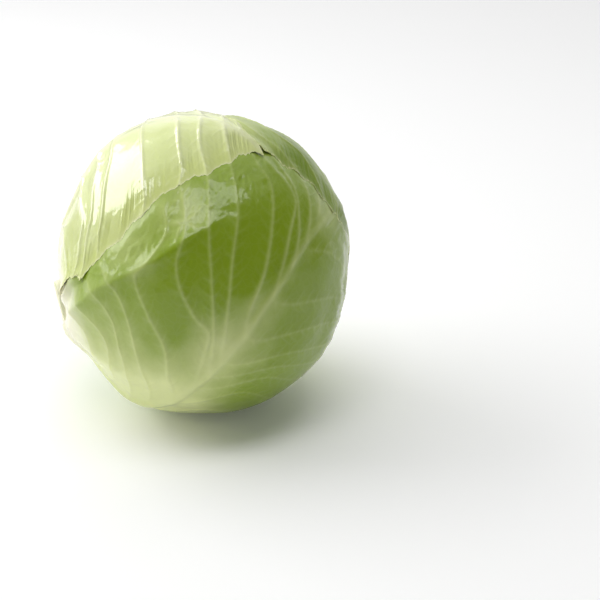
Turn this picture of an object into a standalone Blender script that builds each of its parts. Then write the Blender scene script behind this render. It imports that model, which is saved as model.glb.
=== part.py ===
"""A whole green cabbage head lying on its side: a cut stem, the heart of packed inner leaves,
and five wrapper leaves that grow from the stem and lap over one another round the heart.

Metres, +Z up. The origin is the middle of the small flat spot that the head rests on.
Every surface is a distance from the head's centre in a given direction, so the leaves stack like
the skins of an onion and can't cross. A direction is given by two angles, in degrees:
along, 0 at the stem and 180 at the tip, and around, 0 up, 90 to the front and 180 down.
"""

import bmesh
import bpy
import numpy as np
from mathutils import Matrix, Vector

# Sizes of the head, in metres
HEAD_RADIUS = 0.0895
REST_HEIGHT = 0.0870
FLAT_BLEND = 0.0015

# The stem points left, a little to the front and a little down
STEM_TURN = 14.5
STEM_DIP = 9.9
STEM_RADIUS = 0.0120
STEM_REACH = 0.0885
STEM_ROOT = 0.0640
STEM_SIDES = 28
STEM_ARRIS = 0.0012
STEM_DOME = 0.0004

# The root's taper: share of the stem's radius, and height over the root's end in stem radii
ROOT_TAPER = [(0.62, 0.0), (0.86, 0.4), (0.97, 1.0)]

# The cut face: share of the stem's radius, and share of the dome's height
CUT_FACE = [(0.70, 0.0), (0.35, 0.75)]

# The stem's socket in the heart, and the hollow round it
SOCKET_CLEARANCE = 0.0006
HOLLOW_DEPTH = 0.0075
HOLLOW_SPREAD = 12.5

# A leaf's blade, its ribs and the room between two leaves
BLADE = 0.0012
GAP = 0.0005
HEART_GAP = 0.0009
RIB_ROOM = 0.0003
LAYER = BLADE + GAP + RIB_ROOM
MIDRIB_HEIGHT = 0.0028
MIDRIB_WIDTH = 0.0075
MIDRIB_TAPER = 0.75
MIDRIB_WIDTH_AT_ENDS = (1.1, 0.5)
SIDE_RIB_HEIGHT = 0.0013
SIDE_RIB_WIDTH = 0.0040
SIDE_RIB_TAPER = 0.55
EDGE_THINNING = 0.0004
EDGE_BAND = 0.12

# The waves of a leaf's edge fade in over this share of its length, and reach in by this power of v
SCALLOP_START = 0.15
SCALLOP_POWER = 6

# Gentle swells of a leaf between its ribs: half their height, their length and the waves in them
SWELL = 0.0006
SWELL_LENGTH = 0.045
SWELL_WAVES = 12

# How far past its edge a leaf still lifts the leaf over it, and over what width that fades
LIFT_REACH = 0.006
LIFT_FADE = 0.024

# The heart gives way to a leaf over a wider band, which starts inside the leaf's edge
GIVE_START = -0.030
GIVE_FADE = 0.070

# Relief starts this far outside the edge of a leaf that lies over it, and fades in
BARE_START = 0.001
BARE_FADE = 0.012

# Relief also fades in over these angles, in degrees, from straight down
PRESSED = 18
PRESSED_FADE = 18

# The soft crease that runs from the stem across the front leaf
FOLD_HEIGHT = 0.0048
FOLD_WIDTH = 0.0180
FOLD_FADE = (2, 34)
FOLD = [(22, 76), (32, 69), (42, 64), (51, 61), (64, 59), (76, 54), (88, 49)]

# Broad swellings and dips of the head: along, around, height in metres, spread in degrees
LUMPS = [
    (72, -18, 0.0022, 22),
    (46, -40, -0.0042, 24),
    (62, -38, -0.0046, 15),
    (22, -60, -0.0072, 18),
    (52, 156, 0.0016, 18),
    (26, 166, -0.0048, 14),
    (14, 191, 0.0030, 10),
    (100, 160, 0.0010, 28),
    (132, 6, 0.0016, 20),
    (62, 250, 0.0010, 30),
    (120, 280, -0.0014, 34),
]

# Each leaf is a net of points, one row for each pair of side ribs from its base at the stem to
# its far edge, and one column for each line from one side edge over the midrib to the other.
# A point is (along, around). Each row but the first and the last runs along its side ribs.
FRONT_NET = [
    [(11, 68), (9.4, 88), (8.9, 115), (8.8, 155), (9.2, 200), (11, 240)],
    [(25, 48), (22, 76), (25, 110), (17, 152), (27, 195), (38, 236)],
    [(36, 28), (32, 69), (38, 104), (27, 151), (46, 180), (66, 232)],
    [(47, 24), (42, 64), (44, 99), (41, 153), (64, 162), (88, 221)],
    [(56, 21), (51, 61), (51, 97), (53, 146), (78, 145), (104, 205)],
    [(84, 14), (64, 59), (61, 94), (63, 130), (90, 128), (116, 191)],
    [(92, 12), (76, 54), (75, 82), (71, 117), (100, 122), (125, 176)],
    [(101, 10), (88, 49), (83, 86), (77, 110), (106, 118), (132, 163)],
    [(112, 9), (99, 52), (89, 85), (82, 104), (111, 113), (137, 152)],
    [(122, 8), (113, 56), (101, 79), (92, 95), (119, 106), (143, 140)],
    [(134, 4), (126, 46), (116, 66), (106, 83), (128, 98), (149, 127)],
    [(148, -6), (142, 34), (134, 51), (126, 67), (140, 82), (155, 112)],
    [(170, -50), (166, 0), (161, 25), (158, 38), (164, 60), (171, 105)],
]
CROWN_NET = [
    [(11, 53), (9.2, 25), (8.8, -5), (9.2, -35), (11, -62)],
    [(22, 52), (26, 26), (31, -6), (31, -42), (32, -76)],
    [(29, 51), (40, 27), (50, -8), (48, -43), (46, -78)],
    [(34, 56), (48, 27), (61, -11), (59, -45), (58, -77)],
    [(44, 50), (56, 25), (70, -13), (68, -45), (67, -75)],
    [(56, 46), (65, 23), (77, -14), (75, -43), (75, -72)],
    [(67.5, 40), (74, 19), (83, -13), (82, -38), (83, -66)],
    [(83, 34.5), (87.5, 17), (92.5, -6), (93, -30), (94, -53)],
    [(94.5, 33), (97, 16), (100.5, 0), (102, -18), (104, -36)],
    [(105, 29), (106, 19.5), (107.5, 9), (108.5, -1), (109.5, -14)],
    [(112, 25.5), (112.3, 20), (112.8, 14.5), (113, 8), (113.5, 0)],
    [(119, 25.5), (118.6, 24), (118.3, 22), (118, 20), (117.5, 17.5)],
]
BACK_NET = [
    [(11, 226), (9.2, 247), (8.8, 270), (9.2, 293), (11, 316)],
    [(36, 229), (27, 248), (24, 271), (27, 296), (36, 326)],
    [(60, 230), (48, 250), (41, 272), (48, 302), (60, 338)],
    [(82, 232), (68, 252), (58, 273), (68, 308), (84, 351)],
    [(102, 232), (86, 255), (74, 275), (87, 315), (104, 5)],
    [(119, 228), (103, 258), (90, 278), (104, 322), (119, 22)],
    [(132, 212), (119, 261), (106, 282), (119, 331), (128, 29.5)],
    [(141, 192), (134, 262), (122, 288), (132, 342), (136, 34)],
    [(146, 180), (148, 252), (138, 298), (142, 352), (143.5, 44)],
    [(150, 165), (164, 225), (159, 318), (153, 8), (149.5, 55)],
    [(157, 140), (170, 190), (175, 60), (164, 42), (152, 60)],
    [(164, 112), (166, 103), (166.5, 92), (162, 80), (155, 68)],
]
INNER_NET = [
    [(11, 98), (9.2, 75), (8.8, 52), (9.2, 28), (11, 4)],
    [(40, 106), (34, 78), (30, 52), (34, 24), (40, -4)],
    [(65, 104), (57, 78), (51, 52), (57, 24), (65, -4)],
    [(88, 97), (80, 75), (73, 52), (79, 26), (86, 4)],
    [(106, 84), (110, 68), (112, 50), (110, 34), (105, 18)],
]
UNDER_NET = [
    [(11, 163), (9.2, 185), (8.8, 206), (9.2, 227), (11, 249)],
    [(38, 160), (31, 184), (27, 207), (31, 231), (38, 257)],
    [(62, 158), (54, 184), (48, 209), (54, 235), (63, 262)],
    [(86, 156), (77, 185), (70, 211), (77, 239), (88, 268)],
    [(108, 150), (100, 184), (92, 212), (100, 242), (110, 274)],
    [(130, 138), (124, 178), (117, 212), (124, 248), (131, 281)],
    [(147, 117), (147, 168), (144, 212), (146, 256), (147, 291)],
    [(160, 66), (168, 100), (172, 200), (166, 290), (156, 314)],
]

# Leaves from the innermost to the outermost. midrib is the net's column that the midrib runs
# along, across has the count of faces from each column to the next and scallop is the depth of
# the waves of the leaf's edge.
LEAVES = [
    {
        "name": "leaf_under", "net": UNDER_NET, "midrib": 2, "across": (5, 5, 5, 5),
        "scallop": 0.0022, "colour": (0.50, 0.58, 0.20),
    },
    {
        "name": "leaf_inner", "net": INNER_NET, "midrib": 2, "across": (3, 3, 3, 3),
        "scallop": 0.0015, "colour": (0.58, 0.64, 0.26),
    },
    {
        "name": "leaf_front", "net": FRONT_NET, "midrib": 3, "across": (5, 6, 5, 8, 8),
        "scallop": 0.0025, "colour": (0.26, 0.36, 0.08),
    },
    {
        "name": "leaf_back", "net": BACK_NET, "midrib": 2, "across": (6, 6, 6, 6),
        "scallop": 0.0028, "colour": (0.30, 0.41, 0.11),
    },
    {
        "name": "leaf_crown", "net": CROWN_NET, "midrib": 2, "across": (4, 4, 4, 4),
        "scallop": 0.0026, "colour": (0.58, 0.66, 0.27),
    },
]

# Rows of faces from one pair of side ribs to the next
ROWS_PER_RIB = 3
OUTLINE_STEPS = 24
HEART_FIRST_RING = 13
HEART_RINGS = 22
HEART_SIDES = 32

# Edges of a surface bent by more than these angles, in degrees, are shaded sharp
SHARP = 50
STEM_SHARP = 40

STEM_COLOUR = (0.80, 0.78, 0.60)
HEART_COLOUR = (0.72, 0.74, 0.42)
LEAF_ROUGHNESS = 0.38
STEM_ROUGHNESS = 0.6
HEART_ROUGHNESS = 0.45

CENTRE = np.array([0.0, 0.0, REST_HEIGHT])
DOWN = np.array([0.0, 0.0, -1.0])


def head_axes():
    """The unit vectors of the stem, of up as seen along the stem, and of the front."""
    turn, dip = np.radians(STEM_TURN), np.radians(STEM_DIP)
    stem = -np.array([np.cos(dip) * np.cos(turn), np.cos(dip) * np.sin(turn), np.sin(dip)])
    up = -DOWN - stem * (stem @ -DOWN)
    up /= np.linalg.norm(up)
    return stem, up, np.cross(up, stem)


STEM_WAY, UP_WAY, FRONT_WAY = head_axes()


def ways(along, around):
    """Unit vectors from the head's centre for angles in degrees."""
    a, b = np.radians(along)[..., None], np.radians(around)[..., None]
    return np.cos(a) * STEM_WAY + np.sin(a) * (np.cos(b) * UP_WAY + np.sin(b) * FRONT_WAY)


def unit(vectors):
    return vectors / np.linalg.norm(vectors, axis=-1, keepdims=True)


def smooth_step(x):
    x = np.clip(x, 0, 1)
    return x * x * (3 - 2 * x)


def through(points, t):
    """A smooth curve through points (the first axis) at t from 0 to 1, straight past both ends."""
    spans = len(points) - 1
    at = np.clip(t, 0, 1) * spans
    i = np.minimum(at.astype(int), spans - 1)
    fit = (...,) + (None,) * (points.ndim - 1)
    f = (at - i)[fit]
    p = np.concatenate([2 * points[:1] - points[1:2], points, 2 * points[-1:] - points[-2:-1]])
    before, here, there, after = p[i], p[i + 1], p[i + 2], p[i + 3]
    bend = 2 * before - 5 * here + 4 * there - after
    turn = 3 * here - before - 3 * there + after
    curve = here + 0.5 * (f * (there - before) + f**2 * bend + f**3 * turn)
    past = ((t - np.clip(t, 0, 1)) * spans)[fit]
    slope = np.where((t < 0)[fit], (p[2] - p[0]) / 2, (p[-1] - p[-3]) / 2)
    return curve + slope * past


def scallops(leaf, u):
    """How far the edge is drawn in between the tips of two side ribs, from 0 to 1."""
    return np.sin(np.pi * u * (len(leaf["net"]) - 1)) ** 2


def leaf_ways(leaf, u, v):
    """Directions to the leaf's points: u from its base to its far edge, v from -1 to 1 across it."""
    net = np.array(leaf["net"], float)
    lines = through(ways(net[..., 0], net[..., 1]), u)
    width = np.linalg.norm(np.diff(lines, axis=1), axis=2).sum(1) * HEAD_RADIUS
    drawn_in = leaf["scallop"] * scallops(leaf, u) * smooth_step(u / SCALLOP_START) * 2 / width
    near_edge = np.sign(v) * np.abs(v) ** SCALLOP_POWER
    s = (v[None, :] - drawn_in[:, None] * near_edge[None, :] + 1) / 2
    rows = [through(line, at) for line, at in zip(lines, s)]
    return unit(np.array(rows))


def outline(leaf):
    """The leaf's edge as a ring of directions."""
    steps = np.linspace(0, 1, OUTLINE_STEPS + 1)
    grid = leaf_ways(leaf, steps, 2 * steps - 1)
    return np.concatenate([grid[0, :-1], grid[:-1, -1], grid[-1, :0:-1], grid[:0:-1, 0]])


def distance_to_line(points, line, closed):
    """The least distance, in metres on the head, from directions to a line of directions."""
    ends = np.roll(line, -1, axis=0) if closed else line[1:]
    starts = line if closed else line[:-1]
    least = np.full(points.shape[:-1], np.inf)
    for a, b in zip(starts, ends):
        step = b - a
        t = np.clip(((points - a) @ step) / (step @ step), 0, 1)
        least = np.minimum(least, np.linalg.norm(points - a - t[..., None] * step, axis=-1))
    return least * HEAD_RADIUS


def flat_chart(points, middle):
    """Directions laid flat round the middle one, with true lengths outward from it."""
    side = unit(np.cross(middle, STEM_WAY))
    over = np.cross(middle, side)
    from_middle = np.arccos(np.clip(points @ middle, -1, 1))
    x, y = points @ side, points @ over
    scale = from_middle / np.maximum(np.hypot(x, y), 1e-9)
    return x * scale, y * scale


def outside(leaf, points):
    """Metres from the leaf's edge to each direction, negative where the leaf covers it."""
    ring = outline(leaf)
    middle = unit(leaf_ways(leaf, np.array([0.5]), np.array([0.0]))[0, 0])
    x, y = flat_chart(points, middle)
    rx, ry = flat_chart(ring, middle)
    inside = np.zeros(points.shape[:-1], bool)
    for ax, ay, bx, by in zip(rx, ry, np.roll(rx, -1), np.roll(ry, -1)):
        if ay != by:
            inside ^= ((ay > y) != (by > y)) & (x < (bx - ax) * (y - ay) / (by - ay) + ax)
    far = distance_to_line(points, ring, closed=True)
    return np.where(inside, -far, far)


def leaf_distances(points):
    return {leaf["name"]: outside(leaf, points) for leaf in LEAVES}


def lift(distance):
    """1 under and beside a leaf, fading to 0 away from it."""
    return 1 - smooth_step((distance - LIFT_REACH) / LIFT_FADE)


def broad_lift(distance):
    """The same over a wider band: how much the heart gives way to a leaf."""
    return 1 - smooth_step((distance - GIVE_START) / GIVE_FADE)


def ripple(points, wavelength, count, seed):
    """Smooth waves in random directions that add up to about -1..1."""
    random = np.random.default_rng(seed)
    waves = unit(random.normal(size=(count, 3))) * 2 * np.pi * HEAD_RADIUS / wavelength
    phases = random.uniform(0, 2 * np.pi, count)
    return np.cos(points @ waves.T + phases).sum(-1) / np.sqrt(2 * count)


def angle_between(points, way):
    return np.degrees(np.arccos(np.clip(points @ way, -1, 1)))


def heart_radius(points, distances):
    """The head's outer form less the leaves that lie on it."""
    radius = np.full(points.shape[:-1], HEAD_RADIUS)
    for along, around, height, spread in LUMPS:
        middle = ways(np.array(along), np.array(around))
        radius += height * np.exp(-((angle_between(points, middle) / spread) ** 2))
    radius -= HOLLOW_DEPTH * np.exp(-((angle_between(points, STEM_WAY) / HOLLOW_SPREAD) ** 2))
    return radius - LAYER * sum(broad_lift(d) for d in distances.values())


def floor_push(points, radius):
    """How much the whole stack of leaves gives way, so that the head rests on a small flat spot."""
    down = np.minimum(points[..., 2], -1e-6)
    height = REST_HEIGHT + radius * points[..., 2]
    eased = np.where(height < FLAT_BLEND, (height + FLAT_BLEND) ** 2 / (4 * FLAT_BLEND), height)
    eased = np.where(height < -FLAT_BLEND, 0.0, eased)
    return np.where(height < FLAT_BLEND, radius - (eased - REST_HEIGHT) / down, 0.0)


def off_the_floor(points):
    """0 on the flat spot, where the leaf is pressed smooth, and 1 away from it."""
    return smooth_step((angle_between(points, DOWN) - PRESSED) / PRESSED_FADE)


def skin_radius(heart, distances):
    """The radius of the outermost leaf's outer face, given the heart's."""
    return heart + LAYER * sum(lift(d) for d in distances.values()) - (LAYER - BLADE)


def base_radius(name, points, distances):
    """The radius that the named leaf's inner face lies at."""
    heart = heart_radius(points, distances)
    below = 0.0
    for leaf in LEAVES:
        if leaf["name"] == name:
            break
        below = below + LAYER * lift(distances[leaf["name"]])
    return heart + below - floor_push(points, skin_radius(heart, distances))


def bareness(name, points, distances):
    """1 where no other leaf lies over the named one, and 0 where one does."""
    bare = off_the_floor(points)
    over = False
    for leaf in LEAVES:
        if over:
            past_edge = distances[leaf["name"]] - BARE_START
            bare = bare * smooth_step(past_edge / BARE_FADE)
        over = over or leaf["name"] == name
    return bare


def tent(distance, width):
    """A rib's cross-section: a crest with sides that flatten outward."""
    return np.exp(-distance / (0.5 * width))


def spacings(grid):
    """Metres on the head for one step of u, square to the rows, and for one step of v."""
    by_row, by_line = np.gradient(grid, axis=0), np.gradient(grid, axis=1)
    across = np.linalg.norm(by_line, axis=-1)
    straight = by_row - by_line * ((by_row * by_line).sum(-1) / across**2)[..., None]
    return np.linalg.norm(straight, axis=-1) * HEAD_RADIUS, across * HEAD_RADIUS


def rib_height(leaf, grid, u, v):
    """The midrib and the side ribs, which stand out of the leaf's outer face."""
    per_row, per_line = spacings(grid)
    u_step, v_step = np.gradient(u), np.gradient(v)
    to_metres_u = per_row / u_step[:, None]
    to_metres_v = per_line / v_step[None, :]
    spine = 2 * leaf["midrib"] / (len(leaf["net"][0]) - 1) - 1
    taper = 1 - MIDRIB_TAPER * u[:, None]
    width = MIDRIB_WIDTH * np.interp(u, (0, 1), MIDRIB_WIDTH_AT_ENDS)[:, None]
    height = MIDRIB_HEIGHT * taper * tent(np.abs(v - spine)[None, :] * to_metres_v, width)
    reach = np.abs(v - spine) / np.where(v < spine, 1 + spine, 1 - spine)
    side_height = SIDE_RIB_HEIGHT * (1 - SIDE_RIB_TAPER * reach)[None, :]
    spans = len(leaf["net"]) - 1
    for station in np.arange(1, spans) / spans:
        crest = tent(np.abs(u - station)[:, None] * to_metres_u, SIDE_RIB_WIDTH)
        height = np.maximum(height, side_height * crest)
    return height


def fold(points):
    """The crease across the front leaf, which dies out towards its upper end."""
    line = np.array(FOLD, float)
    path = ways(line[:, 0], line[:, 1])
    nearest_end = angle_between(points, path[-1])
    fade = smooth_step((nearest_end - FOLD_FADE[0]) / (FOLD_FADE[1] - FOLD_FADE[0]))
    return FOLD_HEIGHT * fade * tent(distance_to_line(points, path, closed=False), FOLD_WIDTH)


def column_stations(leaf):
    """Values of v across the leaf, with one on each of its net's columns."""
    columns = np.linspace(-1, 1, len(leaf["net"][0]))
    spans = zip(columns, columns[1:], leaf["across"])
    parts = [np.linspace(start, end, count, endpoint=False) for start, end, count in spans]
    return np.concatenate([*parts, [1.0]])


def leaf_faces(leaf):
    """The leaf's inner and outer faces, as two grids of points."""
    u = np.linspace(0, 1, ROWS_PER_RIB * (len(leaf["net"]) - 1) + 1)
    v = column_stations(leaf)
    grid = leaf_ways(leaf, u, v)
    distances = leaf_distances(grid)
    bare = bareness(leaf["name"], grid, distances)
    inner = base_radius(leaf["name"], grid, distances)
    swell = SWELL * (1 + ripple(grid, SWELL_LENGTH, SWELL_WAVES, len(leaf["name"])))
    if leaf["name"] == "leaf_front":
        swell = swell + fold(grid)
    inner = inner + swell * bare
    edge = smooth_step((np.minimum(1 - np.abs(v)[None, :], 1 - u[:, None])) / EDGE_BAND)
    outer = inner + BLADE - EDGE_THINNING * (1 - edge) + rib_height(leaf, grid, u, v) * bare
    return (CENTRE + grid * r[..., None] for r in (inner, outer))


def closed_mesh(name, inner, outer):
    """A mesh of the two faces, split alike into triangles, and the narrow rim between them."""
    rows, across = outer.shape[:2]
    one_way = np.linalg.norm(outer[1:, 1:] - outer[:-1, :-1], axis=-1)
    other_way = np.linalg.norm(outer[1:, :-1] - outer[:-1, 1:], axis=-1)
    mesh = bpy.data.meshes.new(name)
    shape = bmesh.new()
    under = [[shape.verts.new(p) for p in row] for row in inner]
    over = [[shape.verts.new(p) for p in row] for row in outer]
    for i in range(rows - 1):
        for j in range(across - 1):
            for side, face in ((1, over), (-1, under)):
                a, b, c, d = face[i][j], face[i + 1][j], face[i + 1][j + 1], face[i][j + 1]
                split = ((a, b, c), (a, c, d))
                if other_way[i, j] < one_way[i, j]:
                    split = ((a, b, d), (b, c, d))
                for corners in split:
                    shape.faces.new(corners[::side])
    ring = [(0, j) for j in range(across - 1)]
    ring += [(i, across - 1) for i in range(rows - 1)]
    ring += [(rows - 1, j) for j in range(across - 1, 0, -1)]
    ring += [(i, 0) for i in range(rows - 1, 0, -1)]
    for (i, j), (k, m) in zip(ring, ring[1:] + ring[:1]):
        shape.faces.new((over[i][j], over[k][m], under[k][m], under[i][j]))
    bmesh.ops.triangulate(shape, faces=[f for f in shape.faces if len(f.verts) == 4])
    bmesh.ops.recalc_face_normals(shape, faces=shape.faces)
    shape.to_mesh(mesh)
    shape.free()
    mesh.shade_smooth()
    mesh.set_sharp_from_angle(angle=np.radians(SHARP))
    return mesh


def material(name, colour, roughness):
    made = bpy.data.materials.new(name)
    made.use_nodes = True
    shader = made.node_tree.nodes["Principled BSDF"]
    shader.inputs["Base Color"].default_value = (*colour, 1)
    shader.inputs["Roughness"].default_value = roughness
    shader.inputs["Metallic"].default_value = 0
    made.diffuse_color = (*colour, 1)
    return made


def add_object(name, mesh, finish):
    made = bpy.data.objects.new(name, mesh)
    bpy.context.scene.collection.objects.link(made)
    mesh.materials.append(finish)
    return made


def add_leaf(leaf):
    inner, outer = leaf_faces(leaf)
    mesh = closed_mesh(leaf["name"], inner, outer)
    return add_object(leaf["name"], mesh, material(leaf["name"], leaf["colour"], LEAF_ROUGHNESS))


def stem_placement():
    """The matrix that stands a turned shape on the head's centre, along the stem."""
    turn = Vector((0, 0, 1)).rotation_difference(Vector(STEM_WAY))
    return Matrix.Translation(Vector(CENTRE)) @ turn.to_matrix().to_4x4()


def turned(name, profile, sides):
    """A closed shape of revolution about Z, from (radius, height) points that start and end on the axis."""
    mesh = bpy.data.meshes.new(name)
    shape = bmesh.new()
    points = [shape.verts.new((radius, 0, height)) for radius, height in profile]
    edges = [shape.edges.new(pair) for pair in zip(points, points[1:])]
    bmesh.ops.spin(
        shape, geom=points + edges, cent=(0, 0, 0), axis=(0, 0, 1),
        angle=2 * np.pi, steps=sides, use_merge=True,
    )
    bmesh.ops.remove_doubles(shape, verts=shape.verts, dist=1e-5)
    bmesh.ops.recalc_face_normals(shape, faces=shape.faces)
    shape.to_mesh(mesh)
    shape.free()
    return mesh


def add_stem():
    """The cut stem: a stub with a knife-flat end, a rounded arris and a root that narrows in the heart."""
    profile = [
        (0, STEM_ROOT),
        *((share * STEM_RADIUS, STEM_ROOT + height * STEM_RADIUS) for share, height in ROOT_TAPER),
        (STEM_RADIUS, STEM_REACH - 4 * STEM_ARRIS),
        (STEM_RADIUS - 0.2 * STEM_ARRIS, STEM_REACH - STEM_ARRIS),
        (STEM_RADIUS - STEM_ARRIS, STEM_REACH - 0.2 * STEM_ARRIS),
        *((share * STEM_RADIUS, STEM_REACH + rise * STEM_DOME) for share, rise in CUT_FACE),
        (0, STEM_REACH + STEM_DOME),
    ]
    mesh = turned("stem", profile, STEM_SIDES)
    stem = add_object("stem", mesh, material("stem", STEM_COLOUR, STEM_ROUGHNESS))
    mesh.shade_smooth()
    mesh.set_sharp_from_angle(angle=np.radians(STEM_SHARP))
    stem.matrix_world = stem_placement()
    return stem


def add_heart():
    """The ball of packed inner leaves, with a socket that the stem's root sits in."""
    room = STEM_RADIUS + SOCKET_CLEARANCE
    lip = np.degrees(np.arcsin(room / (HEAD_RADIUS - HOLLOW_DEPTH)))
    along = np.concatenate([[lip], np.linspace(HEART_FIRST_RING, 180, HEART_RINGS)[:-1]])
    around = np.linspace(0, 360, HEART_SIDES, endpoint=False)
    points = ways(*np.meshgrid(along, around, indexing="ij"))
    points = np.concatenate([points.reshape(-1, 3), [-STEM_WAY]])
    distances = leaf_distances(points)
    heart = heart_radius(points, distances)
    radius = heart - floor_push(points, skin_radius(heart, distances)) - HEART_GAP
    places = points * radius[:, None]

    lip_ring = places[:HEART_SIDES]
    wall = lip_ring - (lip_ring @ STEM_WAY)[:, None] * STEM_WAY
    wall = unit(wall) * room
    places[:HEART_SIDES] = wall + (lip_ring @ STEM_WAY)[:, None] * STEM_WAY
    socket = (STEM_ROOT - SOCKET_CLEARANCE) * STEM_WAY
    places = CENTRE + np.concatenate([wall + socket, places, [socket]])

    mesh = bpy.data.meshes.new("heart")
    shape = bmesh.new()
    verts = [shape.verts.new(p) for p in places]
    rings = [verts[i:i + HEART_SIDES] for i in range(0, len(verts) - 2, HEART_SIDES)]
    for ring, after in zip(rings, rings[1:]):
        for j in range(HEART_SIDES):
            k = (j + 1) % HEART_SIDES
            shape.faces.new((ring[j], ring[k], after[k], after[j]))
    for ring, end in ((rings[0], verts[-1]), (rings[-1], verts[-2])):
        for j in range(HEART_SIDES):
            shape.faces.new((ring[j], ring[(j + 1) % HEART_SIDES], end))
    bmesh.ops.triangulate(shape, faces=[f for f in shape.faces if len(f.verts) == 4])
    bmesh.ops.recalc_face_normals(shape, faces=shape.faces)
    shape.to_mesh(mesh)
    shape.free()
    mesh.shade_smooth()
    mesh.set_sharp_from_angle(angle=np.radians(SHARP))
    return add_object("heart", mesh, material("heart", HEART_COLOUR, HEART_ROUGHNESS))


def build():
    for old in list(bpy.data.objects):
        bpy.data.objects.remove(old)
    add_stem()
    add_heart()
    for leaf in LEAVES:
        add_leaf(leaf)


build()
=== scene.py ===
# %% [markdown]
# # A whole green cabbage, leaf by leaf
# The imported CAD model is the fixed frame: a stem, a heart and five wrapper leaves. This script
# keeps those places and sizes, and swaps each plain solid for a finely modelled one, with raised
# ribs, branching veins, crinkles and thin ragged edges. Everything is in metres, +Z up.

import bpy
import numpy as np
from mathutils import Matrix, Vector


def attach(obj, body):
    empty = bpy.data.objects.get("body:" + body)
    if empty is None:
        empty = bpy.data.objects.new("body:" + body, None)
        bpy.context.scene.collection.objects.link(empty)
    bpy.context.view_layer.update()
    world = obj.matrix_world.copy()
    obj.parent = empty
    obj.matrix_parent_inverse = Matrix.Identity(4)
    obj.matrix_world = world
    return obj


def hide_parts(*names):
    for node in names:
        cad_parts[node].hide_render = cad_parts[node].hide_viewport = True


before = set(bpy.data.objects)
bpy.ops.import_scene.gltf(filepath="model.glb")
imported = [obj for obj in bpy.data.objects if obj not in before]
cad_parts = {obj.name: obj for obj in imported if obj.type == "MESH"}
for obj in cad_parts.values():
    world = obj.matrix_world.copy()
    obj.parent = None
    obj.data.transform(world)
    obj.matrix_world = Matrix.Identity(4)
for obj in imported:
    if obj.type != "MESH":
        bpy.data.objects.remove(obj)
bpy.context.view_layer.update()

print("nodes:", sorted(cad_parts))

# %% [markdown]
# ## Where a point of a cabbage is
# A cabbage is nearly a ball, and its leaves lie on it like the skins of an onion. So a place is a
# direction from the head's centre and a distance. The direction has two angles: along, 0 at the
# stem and 180 at the tip, and around, 0 up, 90 to the front and 180 down. Working in plain x, y
# and z would let leaves cut through each other; here the order of the distances keeps them apart.

# %% The head's centre and axes
HEAD_RADIUS = 0.0895
REST_HEIGHT = 0.0870
CENTRE = np.array([0.0, 0.0, REST_HEIGHT])
STEM_TURN = 14.5
STEM_DIP = 9.9
DOWN = np.array([0.0, 0.0, -1.0])


def unit(vectors):
    """Each vector divided by its length."""
    return vectors / np.linalg.norm(vectors, axis=-1, keepdims=True)


turn, dip = np.radians(STEM_TURN), np.radians(STEM_DIP)
STEM_WAY = -np.array([np.cos(dip) * np.cos(turn), np.cos(dip) * np.sin(turn), np.sin(dip)])
UP_WAY = unit(-DOWN - STEM_WAY * (STEM_WAY @ -DOWN))
FRONT_WAY = np.cross(UP_WAY, STEM_WAY)


def ways(along, around):
    """cos(along) of the stem's way, and sin(along) of a way that turns from up to the front."""
    a, b = np.radians(along)[..., None], np.radians(around)[..., None]
    return np.cos(a) * STEM_WAY + np.sin(a) * (np.cos(b) * UP_WAY + np.sin(b) * FRONT_WAY)


def angle_between(points, way):
    """The angle in degrees from each direction to one direction."""
    return np.degrees(np.arccos(np.clip(points @ way, -1, 1)))


def smooth_step(x):
    """0 below 0, 1 above 1, and 3x^2 - 2x^3 between, which starts and ends level."""
    x = np.clip(x, 0, 1)
    return x * x * (3 - 2 * x)


print("stem points", np.round(STEM_WAY, 3))

# %% [markdown]
# ## Curves through a few points
# Leaves and veins are drawn as a few points, and a smooth curve has to pass through them all. A
# Catmull-Rom curve does that with one cubic for each span, and needs no handles.

# %% Smooth curves


def cubic(before, here, there, after, f):
    """The Catmull-Rom cubic from here (f = 0) to there (f = 1); the outer two set its slopes."""
    bend = 2 * before - 5 * here + 4 * there - after
    twist = 3 * here - before - 3 * there + after
    return here + 0.5 * (f * (there - before) + f**2 * bend + f**3 * twist)


def spans_of(points, t):
    """The points with one more past each end, the span each t falls in, and the share of it."""
    first, last = 2 * points[:1] - points[1:2], 2 * points[-1:] - points[-2:-1]
    padded = np.concatenate([first, points, last])
    at = np.clip(t, 0, 1) * (len(points) - 1)
    i = np.minimum(at.astype(int), len(points) - 2)
    return padded, i, at - i


def through(points, t):
    """A smooth curve through points, read at each t from 0 to 1. Points may be rows of anything."""
    p, i, f = spans_of(points, t)
    f = f[(...,) + (None,) * (points.ndim - 1)]
    return cubic(p[i], p[i + 1], p[i + 2], p[i + 3], f)


def through_each(points, t):
    """The same, where every t has its own points: their first axis is the curve's."""
    p, i, f = spans_of(points, t)
    near = [np.take_along_axis(p, (i + k)[None, ..., None], 0)[0] for k in range(4)]
    return cubic(*near, f[..., None])


def drawn_line(points, count):
    """Directions along a smooth curve through (along, around) points."""
    p = np.array(points, float)
    return unit(through(ways(p[:, 0], p[:, 1]), np.linspace(0, 1, count)))
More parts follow.
